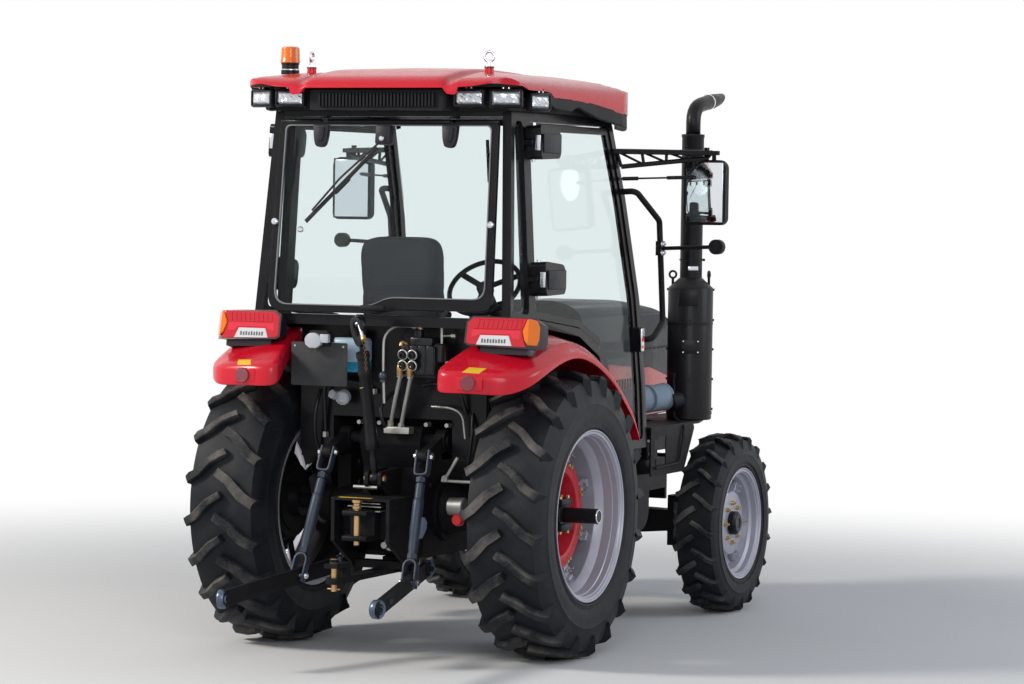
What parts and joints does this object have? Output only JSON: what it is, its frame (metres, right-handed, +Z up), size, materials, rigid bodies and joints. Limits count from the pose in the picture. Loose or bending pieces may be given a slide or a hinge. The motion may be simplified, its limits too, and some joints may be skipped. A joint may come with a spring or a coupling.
{
  "type": "farm tractor",
  "caption": "Four-wheel farm tractor with glazed cab, lugged tyres, tall side exhaust and a rear three-point hitch with power take-off.",
  "frame": {"origin": "middle of the footprint on the ground", "axes": "+X forward, +Y to the driver's left, +Z up"},
  "size_m": [4.54, 2.464, 3.235],
  "materials": {
    "tyre": "matt",
    "rim": "satin",
    "black_iron": "satin",
    "hub_silver": "satin",
    "red_paint": "gloss",
    "black_paint": "satin",
    "glass": "gloss",
    "black_plastic": "matt",
    "lamp": "gloss",
    "amber": "gloss",
    "bright_steel": "satin",
    "grey_paint": "satin",
    "black_heat": "matt",
    "tank_plastic": "matt",
    "tail_red": "gloss",
    "bottle": "satin",
    "steel_blue": "satin",
    "seat": "matt"
  },
  "bodies": {
    "chassis": {"transaxle": "black_iron", "engine_block": "black_iron", "front_frame": "black_iron", "front_axle": "black_iron", "fenders": "red_paint", "cab_frame": "black_paint", "cab_floor": "black_paint", "fixed_glass": "glass", "roof": "red_paint", "roof_housing": "black_plastic", "work_lamps": "lamp", "beacon": "amber", "lifting_eyes": "bright_steel", "radiator": "black_iron", "exhaust": "black_heat", "side_bracket": "black_paint", "mirrors": "black_plastic", "grab_handles": "black_paint", "fuel_tanks": "tank_plastic", "access_steps": "black_paint", "tail_lamps": "tail_red", "plate_carrier": "black_plastic", "washer_bottle": "bottle", "remote_valves": "black_iron", "hitch_frame": "black_iron", "pto_shaft": "bright_steel", "seat_base": "black_plastic", "seat_cushions": "seat", "dash_column": "black_plastic"},
    "hood": {"hood": "grey_paint", "hood_grille": "black_plastic", "headlamps": "lamp"},
    "door_left": {"door_frame_left": "black_paint", "door_glass_left": "glass"},
    "door_right": {"door_frame_right": "black_paint", "door_glass_right": "glass"},
    "rear_window": {"rear_window_frame": "black_plastic", "rear_window_glass": "glass"},
    "steering_wheel": {"steering_wheel": "black_plastic"},
    "rear_wheel_left": {"rear_tyre_left": "tyre", "rear_rim_left": "rim", "rear_hub_left": "black_iron"},
    "rear_wheel_right": {"rear_tyre_right": "tyre", "rear_rim_right": "rim", "rear_hub_right": "black_iron"},
    "front_wheel_left": {"front_tyre_left": "tyre", "front_rim_left": "rim", "front_hub_left": "hub_silver"},
    "front_wheel_right": {"front_tyre_right": "tyre", "front_rim_right": "rim", "front_hub_right": "hub_silver"},
    "knuckle_left": {"steering_knuckle_left": "black_iron"},
    "knuckle_right": {"steering_knuckle_right": "black_iron"},
    "lift_arms": {"lift_arms": "black_iron"},
    "lower_link_left": {"lower_link_left": "black_iron"},
    "lower_link_right": {"lower_link_right": "black_iron"},
    "lift_rod_left": {"lift_rod_left": "steel_blue"},
    "lift_rod_right": {"lift_rod_right": "steel_blue"},
    "top_link": {"top_link": "black_iron"}
  },
  "joints": [
    {"name": "rear_axle_left", "type": "hinge", "parent": "chassis", "child": "rear_wheel_left", "pos_m": [-0.869, 0.8125, 0.765], "axis": [0, 1, 0], "continuous": true},
    {"name": "rear_axle_right", "type": "hinge", "parent": "chassis", "child": "rear_wheel_right", "pos_m": [-0.869, -0.8125, 0.765], "axis": [0, 1, 0], "continuous": true},
    {"name": "steer_left", "type": "hinge", "parent": "chassis", "child": "knuckle_left", "pos_m": [1.565, 0.64, 0.53], "axis": [0, 0, 1], "range_deg": [-38, 38]},
    {"name": "steer_right", "type": "hinge", "parent": "chassis", "child": "knuckle_right", "pos_m": [1.565, -0.64, 0.53], "axis": [0, 0, 1], "range_deg": [-38, 38]},
    {"name": "front_axle_left", "type": "hinge", "parent": "knuckle_left", "child": "front_wheel_left", "pos_m": [1.565, 0.85, 0.53], "axis": [0, 1, 0], "continuous": true},
    {"name": "front_axle_right", "type": "hinge", "parent": "knuckle_right", "child": "front_wheel_right", "pos_m": [1.565, -0.85, 0.53], "axis": [0, 1, 0], "continuous": true},
    {"name": "door_left_hinge", "type": "hinge", "parent": "chassis", "child": "door_left", "pos_m": [-1.074, 0.79394, 1.79738], "axis": [0, -0.0541, 0.9985], "range_deg": [0, 75]},
    {"name": "door_right_hinge", "type": "hinge", "parent": "chassis", "child": "door_right", "pos_m": [-1.074, -0.79394, 1.79738], "axis": [0, -0.0541, -0.9985], "range_deg": [0, 75]},
    {"name": "rear_window_hinge", "type": "hinge", "parent": "chassis", "child": "rear_window", "pos_m": [-1.2609, 0, 2.848], "axis": [0, 1, 0], "range_deg": [0, 55]},
    {"name": "hood_hinge", "type": "hinge", "parent": "chassis", "child": "hood", "pos_m": [0.596, 0, 1.815], "axis": [0, -1, 0], "range_deg": [0, 50]},
    {"name": "steering_wheel_spin", "type": "hinge", "parent": "chassis", "child": "steering_wheel", "pos_m": [-0.004, 0, 1.905], "axis": [-0.7071, 0, 0.7071], "continuous": true},
    {"name": "rockshaft", "type": "hinge", "parent": "chassis", "child": "lift_arms", "pos_m": [-1.139, 0, 1.15], "axis": [0, 1, 0], "range_deg": [-25, 50]},
    {"name": "lower_link_left_pivot", "type": "hinge", "parent": "chassis", "child": "lower_link_left", "pos_m": [-1.269, 0.255, 0.48], "axis": [0, 1, 0], "range_deg": [-18, 35]},
    {"name": "lower_link_right_pivot", "type": "hinge", "parent": "chassis", "child": "lower_link_right", "pos_m": [-1.269, -0.255, 0.48], "axis": [0, 1, 0], "range_deg": [-18, 35]},
    {"name": "lift_rod_left_pin", "type": "hinge", "parent": "lift_arms", "child": "lift_rod_left", "pos_m": [-1.374, 0.28, 1.08], "axis": [0, 1, 0], "range_deg": [-53, 27]},
    {"name": "lift_rod_right_pin", "type": "hinge", "parent": "lift_arms", "child": "lift_rod_right", "pos_m": [-1.374, -0.28, 1.08], "axis": [0, 1, 0], "range_deg": [-53, 27]},
    {"name": "top_link_pin", "type": "hinge", "parent": "chassis", "child": "top_link", "pos_m": [-1.375, 0, 0.953], "axis": [0, 1, 0], "range_deg": [-85, 0]}
  ],
  "couplings": [
    {"joint": "steer_right", "follows": "steer_left", "ratio": 1},
    {"joint": "lower_link_left_pivot", "follows": "rockshaft", "ratio": 0.68},
    {"joint": "lower_link_right_pivot", "follows": "rockshaft", "ratio": 0.68},
    {"joint": "lift_rod_left_pin", "follows": "rockshaft", "ratio": -1.04},
    {"joint": "lift_rod_right_pin", "follows": "rockshaft", "ratio": -1.04}
  ]
}
